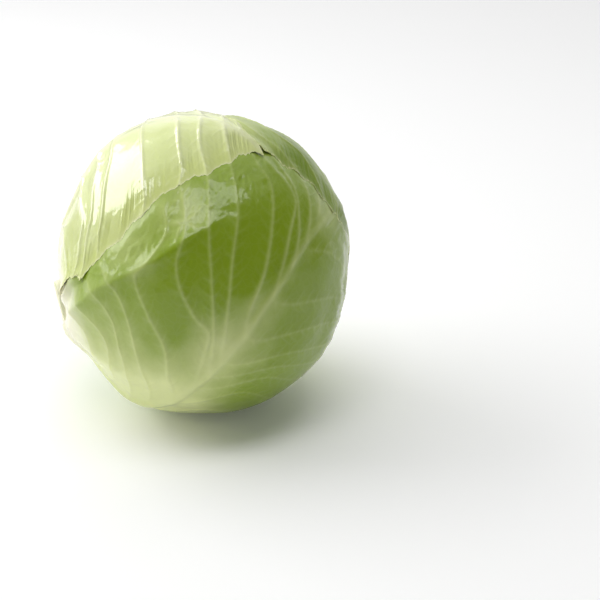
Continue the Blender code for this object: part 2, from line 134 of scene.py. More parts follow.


# %% [markdown]
# ## The leaves' nets
# Each leaf is a net of given points, the same as in the CAD model. A row runs along a pair
# of side ribs, from one edge over the midrib to the other edge, and the rows go from the leaf's
# base at the stem to its far edge. A net follows a leaf that bends round a ball, which a flat
# outline wouldn't.

# %% Nets of the five wrapper leaves
FRONT_NET = [
    [(11, 68), (9.4, 88), (8.9, 115), (8.8, 155), (9.2, 200), (11, 240)],
    [(25, 48), (22, 76), (25, 110), (17, 152), (27, 195), (38, 236)],
    [(36, 28), (32, 69), (38, 104), (27, 151), (46, 180), (66, 232)],
    [(47, 24), (42, 64), (44, 99), (41, 153), (64, 162), (88, 221)],
    [(56, 21), (51, 61), (51, 97), (53, 146), (78, 145), (104, 205)],
    [(84, 14), (64, 59), (61, 94), (63, 130), (90, 128), (116, 191)],
    [(92, 12), (76, 54), (75, 82), (71, 117), (100, 122), (125, 176)],
    [(101, 10), (88, 49), (83, 86), (77, 110), (106, 118), (132, 163)],
    [(112, 9), (99, 52), (89, 85), (82, 104), (111, 113), (137, 152)],
    [(122, 8), (113, 56), (101, 79), (92, 95), (119, 106), (143, 140)],
    [(134, 4), (126, 46), (116, 66), (106, 83), (128, 98), (149, 127)],
    [(148, -6), (142, 34), (134, 51), (126, 67), (140, 82), (155, 112)],
    [(170, -50), (166, 0), (161, 25), (158, 38), (164, 60), (171, 105)],
]
CROWN_NET = [
    [(11, 53), (9.2, 25), (8.8, -5), (9.2, -35), (11, -62)],
    [(22, 52), (26, 26), (31, -6), (31, -42), (32, -76)],
    [(29, 51), (40, 27), (50, -8), (48, -43), (46, -78)],
    [(34, 56), (48, 27), (61, -11), (59, -45), (58, -77)],
    [(44, 50), (56, 25), (70, -13), (68, -45), (67, -75)],
    [(56, 46), (65, 23), (77, -14), (75, -43), (75, -72)],
    [(67.5, 40), (74, 19), (83, -13), (82, -38), (83, -66)],
    [(83, 34.5), (87.5, 17), (92.5, -6), (93, -30), (94, -53)],
    [(94.5, 33), (97, 16), (100.5, 0), (102, -18), (104, -36)],
    [(105, 29), (106, 19.5), (107.5, 9), (108.5, -1), (109.5, -14)],
    [(112, 25.5), (112.3, 20), (112.8, 14.5), (113, 8), (113.5, 0)],
    [(119, 25.5), (118.6, 24), (118.3, 22), (118, 20), (117.5, 17.5)],
]
BACK_NET = [
    [(11, 226), (9.2, 247), (8.8, 270), (9.2, 293), (11, 316)],
    [(36, 229), (27, 248), (24, 271), (27, 296), (36, 326)],
    [(60, 230), (48, 250), (41, 272), (48, 302), (60, 338)],
    [(82, 232), (68, 252), (58, 273), (68, 308), (84, 351)],
    [(102, 232), (86, 255), (74, 275), (87, 315), (104, 5)],
    [(119, 228), (103, 258), (90, 278), (104, 322), (119, 22)],
    [(132, 212), (119, 261), (106, 282), (119, 331), (128, 29.5)],
    [(141, 192), (134, 262), (122, 288), (132, 342), (136, 34)],
    [(146, 180), (148, 252), (138, 298), (142, 352), (143.5, 44)],
    [(150, 165), (164, 225), (159, 318), (153, 8), (149.5, 55)],
    [(157, 140), (170, 190), (175, 60), (164, 42), (152, 60)],
    [(164, 112), (166, 103), (166.5, 92), (162, 80), (155, 68)],
]
INNER_NET = [
    [(11, 98), (9.2, 75), (8.8, 52), (9.2, 28), (11, 4)],
    [(40, 106), (34, 78), (30, 52), (34, 24), (40, -4)],
    [(65, 104), (57, 78), (51, 52), (57, 24), (65, -4)],
    [(88, 97), (80, 75), (73, 52), (79, 26), (86, 4)],
    [(106, 84), (110, 68), (112, 50), (110, 34), (105, 18)],
]
UNDER_NET = [
    [(11, 163), (9.2, 185), (8.8, 206), (9.2, 227), (11, 249)],
    [(38, 160), (31, 184), (27, 207), (31, 231), (38, 257)],
    [(62, 158), (54, 184), (48, 209), (54, 235), (63, 262)],
    [(86, 156), (77, 185), (70, 211), (77, 239), (88, 268)],
    [(108, 150), (100, 184), (92, 212), (100, 242), (110, 274)],
    [(130, 138), (124, 178), (117, 212), (124, 248), (131, 281)],
    [(147, 117), (147, 168), (144, 212), (146, 256), (147, 291)],
    [(160, 66), (168, 100), (172, 200), (166, 290), (156, 314)],
]
print("rows in the front leaf's net:", len(FRONT_NET))

# %% [markdown]
# ## The ribs that show best
# On the front, crown and back leaf the eye follows single ribs, so these are drawn one by one,
# from the midrib out to the edge, and so are three creases of the front leaf. Elsewhere the net's
# own rows serve as ribs.

# %% Side ribs drawn one by one
FRONT_CREASES = [
    [(74.8, 46.9), (81.3, 48.5), (85.4, 47.1), (89.1, 44.7)],
    [(81.2, 48.9), (78.6, 52.1), (76.9, 55.1)],
    [(81.9, 49.4), (85.5, 52.1), (88.8, 53.4)],
]
FRONT_RIBS = [
    [(20, 152), (27, 138), (29, 124), (29, 110), (28, 96), (23.5, 83), (20, 72)],
    [(30, 151), (36, 142), (38, 133), (38, 118), (38.5, 100), (36, 88), (30.5, 75), (28, 60)],
    [(42, 154), (46, 148), (45.5, 130), (45, 111), (44, 99), (44, 83), (41, 68), (37.5, 57)],
    [(52, 147), (53.5, 134), (53, 118), (51, 97), (51, 81), (50, 67), (47, 58), (45, 49)],
    [(62, 133), (63, 122), (62, 113), (63, 96), (60, 81), (59, 64), (65, 59), (74, 51), (76, 41)],
    [(71, 117), (76, 102), (80, 91), (76.5, 84), (74, 72), (75, 62), (80, 54), (83, 44), (84, 33)],
    [(77, 110), (80, 99), (82, 90), (85, 73), (89, 54), (94, 36), (96, 25)],
    [(82, 104), (84.5, 96), (86, 91), (94, 67), (101, 50), (104, 33), (105, 20)],
    [(92, 95), (96, 86), (105, 73), (112, 58), (117, 41), (115, 30), (114, 18)],
    [(106, 83), (113, 72), (119, 61), (126, 48.5), (125, 38.5), (120, 28), (118, 16)],
    [(116, 75), (122, 65), (126, 53), (128, 41), (125, 27), (122, 15)],
    [(126, 67), (131, 58), (134, 48), (135, 38), (133, 26)],
    [(136, 58), (140, 50), (142, 42), (142, 30)],
]
CROWN_RIBS = [
    [(31, -6), (32, 12), (28, 30), (23, 50)],
    [(50, -8), (46, 4), (43.7, 23.9), (38, 34.8), (33.6, 42.5), (29.5, 50)],
    [(61, -11), (56, 4), (49.1, 23.7), (42.2, 35.9), (37.5, 45.9), (34, 55)],
    [(70, -13), (61.7, 7.4), (53.2, 28.1), (48.3, 38.2), (44, 49)],
    [(83, -13), (79.5, -5), (75, 14), (71, 31), (67.7, 39)],
    [(92.5, -6), (91.5, 2), (88.5, 16), (86.6, 26.6), (83.3, 34)],
    [(100.5, 0), (99, 5), (96, 17), (95, 27), (94.5, 32.5)],
    [(107, 8), (106, 14), (105.5, 22.4), (105, 28.5)],
]
BACK_RIBS = [
    [(41, 272), (60, 300), (76, 330), (88, 352), (98, 7)],
    [(58, 273), (78, 302), (94, 332), (104, 356), (112, 11), (120, 20)],
    [(74, 275), (92, 306), (104, 330), (110, 350), (117, 6), (127, 17), (134, 30)],
    [(90, 278), (106, 312), (116, 340), (127, 2), (138, 14), (144, 32), (146, 48)],
    [(106, 282), (119, 316), (130, 340), (143, 352), (152, 10), (156, 35), (153, 58)],
    [(122, 288), (133, 316), (146, 328), (158, 335), (167, 5), (164, 60)],
    [(138, 298), (150, 312), (162, 312), (172, 330)],
]
print("ribs drawn:", len(FRONT_RIBS) + len(CROWN_RIBS) + len(BACK_RIBS))

# %% [markdown]
# ## From a net to a smooth leaf
# Two numbers place a point on a leaf: u, 0 at its base and 1 at its far edge, and v, from -1 to 1
# across it. Between the ends of two ribs the edge is drawn in a little, and small teeth make it
# ragged. The edge could be cut out of a wider sheet, but moving the grid's own lines keeps the
# mesh clean.

# %% A leaf's grid of directions
# Large and small teeth: depth, and how many to a span of the net
TEETH = ((0.0028, 3.3), (0.0015, 8.7))
TOOTH_TURN = 0.75
TOOTH_DEPTHS = (0.35, 0.6)
RAGGED_WAVES = (1, 1.7, 2.9)
FAR_EDGE_POWER = 12
SIDE_EDGE_POWER = 6
SMOOTH_BASE = 0.15


def ragged(t, waves, seed):
    """A wavy line from 0 to 1: the mean of three sines of unlike lengths, squared."""
    random = np.random.default_rng(seed)
    total = sum(np.sin(2 * np.pi * waves * k * t + random.uniform(0, 6)) for k in RAGGED_WAVES)
    return (0.5 + total / 6) ** 2


def teeth(t, count, seed):
    """Pointed teeth: a slow slope down and a steep one back up, with a depth that wanders."""
    wander = TOOTH_DEPTHS[1] * ragged(t, 3, seed) + TOOTH_DEPTHS[0]
    place = count * (t + 0.02 * np.sin(17 * t + seed)) % 1
    return wander * np.minimum(place / TOOTH_TURN, (1 - place) / (1 - TOOTH_TURN))


def leaf_ways(leaf, u, v):
    """Directions: a curve through each column of the net at u, then one through those at v."""
    net = np.array(leaf["net"], float)
    spans = len(net) - 1
    far_edge = leaf["far_wave"] * ragged(v, 4, leaf["seed"]) * u**FAR_EDGE_POWER
    columns = through(ways(net[..., 0], net[..., 1]), u - far_edge)
    width = np.linalg.norm(np.diff(columns, axis=-2), axis=-1).sum(-1) * HEAD_RADIUS
    depth = leaf["scallop"] * np.sin(np.pi * u * spans) ** 2
    for size, per_span in TEETH:
        depth = depth + size * teeth(u, per_span * spans, leaf["seed"])
    drawn_in = depth * smooth_step(u / SMOOTH_BASE) * 2 / width
    s = (v - drawn_in * np.sign(v) * np.abs(v) ** SIDE_EDGE_POWER + 1) / 2
    return unit(through_each(np.moveaxis(columns, -2, 0), s))


def spine(leaf):
    """The value of v that the midrib runs along."""
    return 2 * leaf["midrib"] / (len(leaf["net"][0]) - 1) - 1


# From the innermost leaf out. midrib is the net's column that it runs along, grid the steps along
# u and v, scallop, far_wave and crinkle how uneven edge and blade are, and keel, rib and shoulder
# how strong the midrib, the side ribs and their shoulders are
LEAVES = {
    "under": dict(
        net=UNDER_NET, midrib=2, grid=(180, 180), scallop=0.0022, far_wave=0.018, seed=11,
        crinkle=0.00012, slot="under_leaf", keel=1.0, rib=0.9, shoulder=1.0,
    ),
    "inner": dict(
        net=INNER_NET, midrib=2, grid=(120, 120), scallop=0.0015, far_wave=0.018, seed=23,
        crinkle=0.00012, slot="inner_leaf", keel=1.0, rib=1.2, shoulder=1.0,
    ),
    "front": dict(
        net=FRONT_NET, midrib=3, grid=(324, 260), scallop=0.0025, far_wave=0.010, seed=31,
        crinkle=0.00016, slot="front_leaf", keel=1.0, rib=0.7, shoulder=0.8, drawn_ribs=FRONT_RIBS,
        drawn_side=-1, net_ribs=0.45, creases=FRONT_CREASES,
    ),
    "back": dict(
        net=BACK_NET, midrib=2, grid=(300, 240), scallop=0.0028, far_wave=0.004, seed=47,
        crinkle=0.00016, slot="back_leaf", keel=1.0, rib=1.2, shoulder=1.0, drawn_ribs=BACK_RIBS,
        drawn_side=1,
    ),
    "crown": dict(
        net=CROWN_NET, midrib=2, grid=(400, 184), scallop=0.0026, far_wave=0.004, seed=59,
        crinkle=0.00006, slot="crown_leaf", keel=0.5, rib=1.3, shoulder=0.9, drawn_ribs=CROWN_RIBS,
        drawn_side=-1,
    ),
}
print("leaves, from the innermost:", list(LEAVES))

# %% [markdown]
# ## Which leaf covers what
# A leaf lifts the leaves that lie over it, and presses flat what it covers. Both need the
# distance from any point to a leaf's edge, negative inside. The leaf is laid out flat round its
# own middle, where counting how often a line to the point crosses the edge tells inside from
# outside.

# %% Signed distance to a leaf's edge
OUTLINE_STEPS = 24


def ring_of(grid):
    """A grid's border, in order: along its first row, down, back and up again."""
    return np.concatenate([grid[0, :-1], grid[:-1, -1], grid[-1, :0:-1], grid[:0:-1, 0]])


def outline(leaf):
    """The leaf's edge as a ring of directions."""
    steps = np.linspace(0, 1, OUTLINE_STEPS + 1)
    return ring_of(leaf_ways(leaf, *np.meshgrid(steps, 2 * steps - 1, indexing="ij")))


def segment_distance(points, a, b):
    """The distance from each point to the segment a-b, and the share of it at the nearest place."""
    step = b - a
    t = np.clip(((points - a) @ step) / (step @ step), 0, 1)
    return np.linalg.norm(points - a - t[..., None] * step, axis=-1), t


def flat_chart(points, middle):
    """Directions laid flat: each keeps its bearing and its arc length from the middle."""
    side = unit(np.cross(middle, STEM_WAY))
    x, y = points @ side, points @ np.cross(middle, side)
    arc = np.arccos(np.clip(points @ middle, -1, 1))
    scale = arc / np.maximum(np.hypot(x, y), 1e-9)
    return x * scale, y * scale


def outside(leaf, points):
    """Metres from the leaf's edge, negative where a line sideways crosses it an odd number of
    times."""
    ring = outline(leaf)
    middle = unit(leaf_ways(leaf, np.array([0.5]), np.array([0.0]))[0])
    x, y = flat_chart(points, middle)
    rx, ry = flat_chart(ring, middle)
    inside = np.zeros(points.shape[:-1], bool)
    far = np.full(points.shape[:-1], np.inf)
    corners = zip(rx, ry, np.roll(rx, -1), np.roll(ry, -1), ring, np.roll(ring, -1, axis=0))
    for ax, ay, bx, by, a, b in corners:
        if ay != by:
            inside ^= ((ay > y) != (by > y)) & (x < (bx - ax) * (y - ay) / (by - ay) + ax)
        far = np.minimum(far, segment_distance(points, a, b)[0])
    return np.where(inside, -far, far) * HEAD_RADIUS


# %% [markdown]
# ## Stacking the leaves
# The heart's form comes first: a ball with broad swellings, dips and a hollow at the stem. Each
# leaf then adds its blade and a little room, and fades out past its own edge. Last, the whole
# stack gives way where it meets the table, so that the head rests on a small flat spot.

# %% Distances from the centre
BLADE = 0.0012
GAP = 0.0005
RIB_ROOM = 0.0003
LAYER = BLADE + GAP + RIB_ROOM
LIFT_REACH = 0.006
LIFT_FADE = 0.024
HOLLOW_DEPTH = 0.0075
HOLLOW_SPREAD = 12.5
FLAT_BLEND = 0.0015
HEART_START = 0.030
HEART_FADE = 0.070
FLOOR_START = 18
FLOOR_FADE = 18
SWELL = 0.0005
SWELL_LENGTH = 0.040

# Lumps and dips: along, around, height, spread in degrees
LUMPS = [
    (72, -18, 0.0022, 22), (46, -40, -0.0042, 24), (62, -38, -0.0046, 15),
    (22, -60, -0.0072, 18), (52, 156, 0.0016, 18), (26, 166, -0.0048, 14),
    (14, 191, 0.0030, 10), (100, 160, 0.0010, 28), (104, -8, 0.0014, 16),
    (132, 6, 0.0016, 20), (62, 250, 0.0010, 30), (120, 280, -0.0014, 34),
]


def ripple(points, length, count, seed):
    """The sum of cosine waves of about one length in random directions, about -1 to 1."""
    random = np.random.default_rng(seed)
    pull = unit(random.normal(size=(count, 3))) * 2 * np.pi * HEAD_RADIUS / length
    pull *= random.uniform(0.75, 1.35, (count, 1))
    return np.cos(points @ pull.T + random.uniform(0, 6.3, count)).sum(-1) / np.sqrt(2 * count)


def patchy(points, patches):
    """The sum of a bell curve for each patch."""
    total = np.zeros(points.shape[:-1])
    for along, around, height, spread in patches:
        middle = ways(np.array(along), np.array(around))
        total += height * np.exp(-((angle_between(points, middle) / spread) ** 2))
    return total


def lift(distance):
    """1 under and beside a leaf, fading to 0 away from it."""
    return 1 - smooth_step((distance - LIFT_REACH) / LIFT_FADE)


def heart_radius(points, distances):
    """The head's outer form (a ball, plus a bell curve for each lump) less the leaves on it."""
    radius = np.full(points.shape[:-1], HEAD_RADIUS)
    radius += patchy(points, LUMPS)
    radius += SWELL * ripple(points, SWELL_LENGTH, 14, 5)
    radius -= HOLLOW_DEPTH * np.exp(-((angle_between(points, STEM_WAY) / HOLLOW_SPREAD) ** 2))
    under = (1 - smooth_step((d + HEART_START) / HEART_FADE) for d in distances.values())
    return radius - LAYER * sum(under)


def floor_push(points, radius):
    """What a radius has to lose for its height to ease into 0 instead of passing below it."""
    down = np.minimum(points[..., 2], -1e-6)
    height = REST_HEIGHT + radius * points[..., 2]
    eased = np.where(height < FLAT_BLEND, (height + FLAT_BLEND) ** 2 / (4 * FLAT_BLEND), height)
    eased = np.where(height < -FLAT_BLEND, 0.0, eased)
    return np.where(height < FLAT_BLEND, radius - (eased - REST_HEIGHT) / down, 0.0)


def off_the_floor(points):
    """0 over the flat spot, 1 well up the sides, by the angle from straight down."""
    return smooth_step((angle_between(points, DOWN) - FLOOR_START) / FLOOR_FADE)


def base_radius(name, points, distances):
    """The heart, plus a layer for each leaf below the named one, less what the table pushes in."""
    heart = heart_radius(points, distances)
    skin = heart + LAYER * sum(lift(d) for d in distances.values()) - (LAYER - BLADE)
    below = list(distances)[:list(distances).index(name)] if name in distances else []
    return heart + LAYER * sum(lift(distances[n]) for n in below) - floor_push(points, skin)


print("one leaf takes", round(LAYER * 1000, 2), "mm of the radius")


# %% [markdown]
# ## Fine grids from coarse ones
# The slow sums are done on every fourth line of a leaf's grid, and smooth curves through those
# values give the rest. That is quick, and keeps the surface free of facets.

# %% Coarse to fine
COARSE = 4


def refine(values):
    """A coarse grid of values read at COARSE times as many steps: curves down, then across."""
    rows, lines = values.shape
    down = through(values, np.linspace(0, 1, (rows - 1) * COARSE + 1))
    return through(down.T, np.linspace(0, 1, (lines - 1) * COARSE + 1)).T


def grid_numbers(leaf, step=1):
    """The leaf's u and v as two grids, every step-th line."""
    rows, lines = leaf["grid"]
    u = np.linspace(0, 1, rows // step + 1)
    v = np.linspace(-1, 1, lines // step + 1)
    return np.meshgrid(u, v, indexing="ij")


# %% [markdown]
# ## Veins
# A vein is a line on the ball. Near it the leaf rises, most on the line itself, and by a bell
# curve to the sides. Side ribs send out branches left and right in turn, which bend forward until
# they nearly meet those of the next rib.

# %% Lines that raise a field
BELL_REACH = 3.2
LINE_STEPS = 40
CREASE_STEPS = 20
CREASE_STRENGTH = 0.8
BRANCH_STARTS_AT = (55, 70)
BRANCH_ENDS_AT = (15, 35)


def paint_line(field, points, line, width, strength, faint_start=1.0):
    """Raises field to strength * exp(-(distance / width)^2). Both run from start to end values.

    The strength starts at faint_start of its value and is whole after the first quarter."""
    middle = unit(line.mean(0))
    reach = np.arccos(np.clip((line @ middle).min(), -1, 1)) + BELL_REACH * max(width) / HEAD_RADIUS
    near = np.flatnonzero(points @ middle > np.cos(reach))
    spot = points[near]
    best = np.zeros(len(near))
    for k, (a, b) in enumerate(zip(line, line[1:])):
        far, t = segment_distance(spot, a, b)
        share = (k + t) / (len(line) - 1)
        wide = width[0] + (width[1] - width[0]) * share
        strong = strength[0] + (strength[1] - strength[0]) * share
        strong = strong * (faint_start + (1 - faint_start) * smooth_step(share * 4))
        best = np.maximum(best, strong * np.exp(-((far * HEAD_RADIUS / wide) ** 2)))
    field[near] = np.maximum(field[near], best)


def branch_lines(line, random, spacing=0.0085, reach=0.0115):
    """Branches of a rib: each leaves at about 60 degrees and bends forward as it goes."""
    lengths = np.linalg.norm(np.diff(line, axis=0), axis=1) * HEAD_RADIUS
    places = np.concatenate([[0], np.cumsum(lengths)])
    starts = np.arange(0.6 * spacing, places[-1] - 0.4 * spacing, spacing / 2)
    starts = starts + random.uniform(-0.15, 0.15, len(starts)) * spacing
    for number, start in enumerate(starts):
        i = min(np.searchsorted(places, start), len(line) - 2)
        ahead = unit(line[i + 1] - line[i])
        across = np.cross(line[i], ahead) * (1 if number % 2 else -1)
        first, last = random.uniform(*BRANCH_STARTS_AT), random.uniform(*BRANCH_ENDS_AT)
        turns = np.radians(np.linspace(first, last, 6))
        steps = np.cos(turns)[:, None] * ahead + np.sin(turns)[:, None] * across
        length = reach * random.uniform(0.75, 1.1) / len(steps) / HEAD_RADIUS
        yield unit(line[i] + np.concatenate([[np.zeros(3)], np.cumsum(steps, axis=0)]) * length)


def rib_lines(leaf):
    """Each side rib's line out from the midrib, drawn or along a net's row, and its strength."""
    spans = len(leaf["net"]) - 1
    middle = spine(leaf)
    lines = [(drawn_line(points, LINE_STEPS), 1.0) for points in leaf.get("drawn_ribs", [])]
    for points in leaf.get("creases", []):
        lines.append((drawn_line(points, CREASE_STEPS), CREASE_STRENGTH))
    for edge in {-1, 1} - {leaf.get("drawn_side")}:
        for k in range(1, spans):
            v = np.linspace(middle, edge, LINE_STEPS)
            wander = 0.08 / spans * np.sin(np.linspace(0, 7, LINE_STEPS) + k)
            lines.append((leaf_ways(leaf, k / spans + wander, v), leaf.get("net_ribs", 1.0)))
    return lines


# %% [markdown]
# ## Form of a blade
# Besides the swells of what lies below, two things shape a blade between its ribs: crinkles that
# are ridged rather than round, and on the front leaf one soft fold that starts at the stem. Waves
# in random directions make the crinkles, and the fold is a tent along a drawn line.

# %% Crinkles and the fold
FOLD_HEIGHT = 0.0048
FOLD_WIDTH = 0.0180
FOLD_CREST = 0.0012
FOLD_FADE = (0, 24)
FOLD_STEPS = 30
FOLD = [
    (22, 76), (32, 69), (42, 64), (51, 62), (60, 61), (70, 58.5), (80, 55.5), (89, 53), (101, 49),
]
LARGE_CRINKLE = (0.014, 14)
SMALL_CRINKLE = (0.0062, 18)
LARGE_SHARE = 0.65

# Patches where a leaf is paler, or greener below 0: along, around, share, spread in degrees.
# Some on the front leaf are painted light and shade at its fold, not the leaf's own tone
TONES_AND_PAINTED_LIGHT = {
    "front": [
        (40, 122, 0.85, 22), (64, 145, 0.75, 20), (79, 98, 0.50, 13), (44, 72, 0.10, 10),
        # (56, 52) and (84, 43) are painted sheen above the fold; (66, 84) and (84, 68) painted
        # shade below it
        (85, 127, -0.10, 11), (56, 52, 0.25, 11), (84, 43, 0.40, 12), (66, 84, -0.25, 13),
        (84, 68, -0.35, 14), (112, 56, -0.45, 22), (120, 110, -0.15, 25),
    ],
    "back": [(106, 350, 0.55, 18), (116, 12, 0.35, 12)],
    "crown": [(104, 12, -0.25, 12)],
}

print("points along the fold:", len(FOLD))

# Patches where a leaf is more crinkled: along, around, strength, spread in degrees
PATCHES = [
    (92, 44, 2.4, 12), (106, 40, 1.6, 11), (62, 48, 2.6, 12), (46, 58, 1.5, 10),
    (60, 18, 1.4, 12),
]


def crinkles(points, seed):
    """1 - |ripple| at two sizes: sharp low ridges with hollows between, about 0 to 1."""
    large = 1 - np.abs(ripple(points, *LARGE_CRINKLE, seed))
    small = 1 - np.abs(ripple(points, *SMALL_CRINKLE, seed + 1))
    return LARGE_SHARE * large + (1 - LARGE_SHARE) * small


def fold(points):
    """A tent with a rounded crest along the fold's line, which dies out towards its upper end."""
    line = drawn_line(FOLD, FOLD_STEPS)
    far = np.min([segment_distance(points, a, b)[0] for a, b in zip(line, line[1:])], axis=0)
    far = np.hypot(far * HEAD_RADIUS, FOLD_CREST) - FOLD_CREST
    from_end = angle_between(points, line[-1])
    fade = smooth_step((from_end - FOLD_FADE[0]) / (FOLD_FADE[1] - FOLD_FADE[0]))
    return FOLD_HEIGHT * fade * np.exp(-2 * far / FOLD_WIDTH)


# %% [markdown]
# ## One leaf, inner and outer face
# The inner face follows what lies below it. The outer face adds the blade, thin at the edge, and
# the ribs. An edge that shows settles onto the leaf beneath and dips a hair into it, so that no
# black gap is left, but at two places by the stem the crown leaf's edge stands off.

# %% Ribs and edges in metres
# Height, and the width where the line starts and where it ends
MIDRIB = dict(height=0.0022, width=(0.0044, 0.0020))
SIDE_RIB = dict(height=0.0006, width=(0.0014, 0.0007))
SHOULDER = dict(height=0.0006, width=(0.0052, 0.0034))
BRANCH = dict(height=0.00014, width=(0.0009, 0.0005))
PALE_BAND = (0.030, 0.012)
FAINT_RIB = 0.35
FAINT_SHOULDER = 0.6
# The pale rim's width; its pale colour is partly painted light that the thin edge catches
RIM_WIDTH = 0.0009
EDGE_BLADE = 0.0001
EDGE_GAP = -0.00006
EDGE_WIDTH = 0.0200
SETTLE_WIDTH = 0.0300
LIP = 0.00005
LIP_WIDTH = 0.0035
BESIDE = 0.012
BROAD_START, BROAD_REACH = -0.016, 0.012
SHOWING_REACH = 0.012
BARE_REACH = 0.004
SETTLE_START = 0.12
DULL_WIDTH = 0.022
TIP_FADE = (0.70, 0.30)
TIP_LOSS = 0.8

# How much thicker each leaf's base is. Then, from what angle at the stem and over how many
# degrees its thickness, its paleness and its cream colour fade out
FLESH = {"front": 0.0032, "under": 0.0030, "back": 0.0016, "crown": 0.0008, "inner": 0.0008}
FLESH_FADE = (10, 14)
PALE_FADE = (10, 26)
CREAM_FADE = {"front": (13, 21)}
OTHER_CREAM_FADE = (13, 13)

# Places where the crown leaf's edge stands off: along, around, height, spread in degrees
STAND_OFFS = [(35, 57, 0.0018, 4), (23, 52, 0.0012, 4)]
print("blade", BLADE, "m, at its edge", EDGE_BLADE, "m")

# %% [markdown]
# ## What a point of a leaf needs to know
# How far the edge is, which veins are near, and whether another leaf lies over it. Each is a
# field over the whole grid, so the shape is later a plain sum of fields.

# %% Fields over a leaf


def edge_distance(grid):
    """Metres from each point to the nearest of the leaf's side edges and its far edge."""
    across = np.linalg.norm(np.diff(grid, axis=1), axis=-1) * HEAD_RADIUS
    up = np.linalg.norm(np.diff(grid, axis=0), axis=-1) * HEAD_RADIUS
    left = np.concatenate([np.zeros((len(grid), 1)), np.cumsum(across, axis=1)], axis=1)
    low = np.concatenate([np.zeros((1, grid.shape[1])), np.cumsum(up, axis=0)], axis=0)
    return np.minimum(np.minimum(left, left[:, -1:] - left), low[-1:] - low)


def veins_of(leaf, points):
    """Fields from 0 to 1 near the midrib, the side ribs, their soft shoulders and the branches."""
    flat = points.reshape(-1, 3)
    near, midrib, ribs, shoulders, branches = np.zeros((5, len(flat)))
    random = np.random.default_rng(leaf["seed"])
    u = np.linspace(0, 1, 60)
    middle = leaf_ways(leaf, u, np.full(60, spine(leaf)))
    paint_line(near, flat, middle, PALE_BAND, (1.0, 0.4))
    paint_line(midrib, flat, middle, MIDRIB["width"], (1.0, 0.3))
    for line, strong in rib_lines(leaf):
        faded = (0.8 * strong, 0.6 * strong)
        paint_line(ribs, flat, line, SIDE_RIB["width"], (strong, 0.35 * strong), FAINT_RIB)
        paint_line(shoulders, flat, line, SHOULDER["width"], faded, FAINT_SHOULDER)
        for branch in branch_lines(line, random):
            paint_line(branches, flat, branch, BRANCH["width"], (0.9, 0.2))
    return [f.reshape(points.shape[:-1]) for f in (near, midrib, ribs, shoulders, branches)]


def uncovered(name, distances, start, reach):
    """0 under another leaf, 1 from start + reach metres beyond its edge, smooth between."""
    order = list(LEAVES)
    bare = 1.0
    for other in order[order.index(name) + 1:]:
        bare = bare * smooth_step((distances[other] - start) / reach)
    return bare


def broad_relief(name, points, distances, midrib, shoulders):
    """The fold, midrib and rib shoulders, which a leaf lying over this one has to follow."""
    leaf = LEAVES[name]
    relief = leaf["keel"] * MIDRIB["height"] * midrib
    relief = relief + leaf["shoulder"] * SHOULDER["height"] * shoulders
    if name == "front":
        relief = relief + fold(points)
    return relief * uncovered(name, distances, BROAD_START, BROAD_REACH)


def hover(name, distances):
    """How far the named leaf lies over the one below because of edges of others nearby.

    Each leaf between adds its lift where it isn't below, and clears the sum where it is."""
    total = 0.0
    for below in list(LEAVES)[:list(LEAVES).index(name)]:
        beside = smooth_step(distances[below] / BESIDE)
        total = (total + LAYER * lift(distances[below])) * beside
    return total


# %% [markdown]
# ## Both faces of a leaf
# The lie of a leaf is where its inner face would be if it had no edge and no ribs of its own. The
# fields then shape both faces, and the same fields are kept as marks for the finish.

# %% A leaf's two faces


def lie_of(name):
    """Directions, inner radius and edge distances of all leaves, on the named leaf's fine grid."""
    leaf = LEAVES[name]
    coarse = leaf_ways(leaf, *grid_numbers(leaf, COARSE))
    distances = {n: outside(other, coarse) for n, other in LEAVES.items()}
    base = base_radius(name, coarse, distances)
    for below in list(LEAVES)[:list(LEAVES).index(name)]:
        _, midrib, _, shoulders, _ = veins_of(LEAVES[below], coarse)
        relief = broad_relief(below, coarse, distances, midrib, shoulders)
        base += relief * lift(distances[below]) * off_the_floor(coarse)
    fine = {n: refine(d) for n, d in distances.items()}
    return leaf_ways(leaf, *grid_numbers(leaf)), refine(base), fine


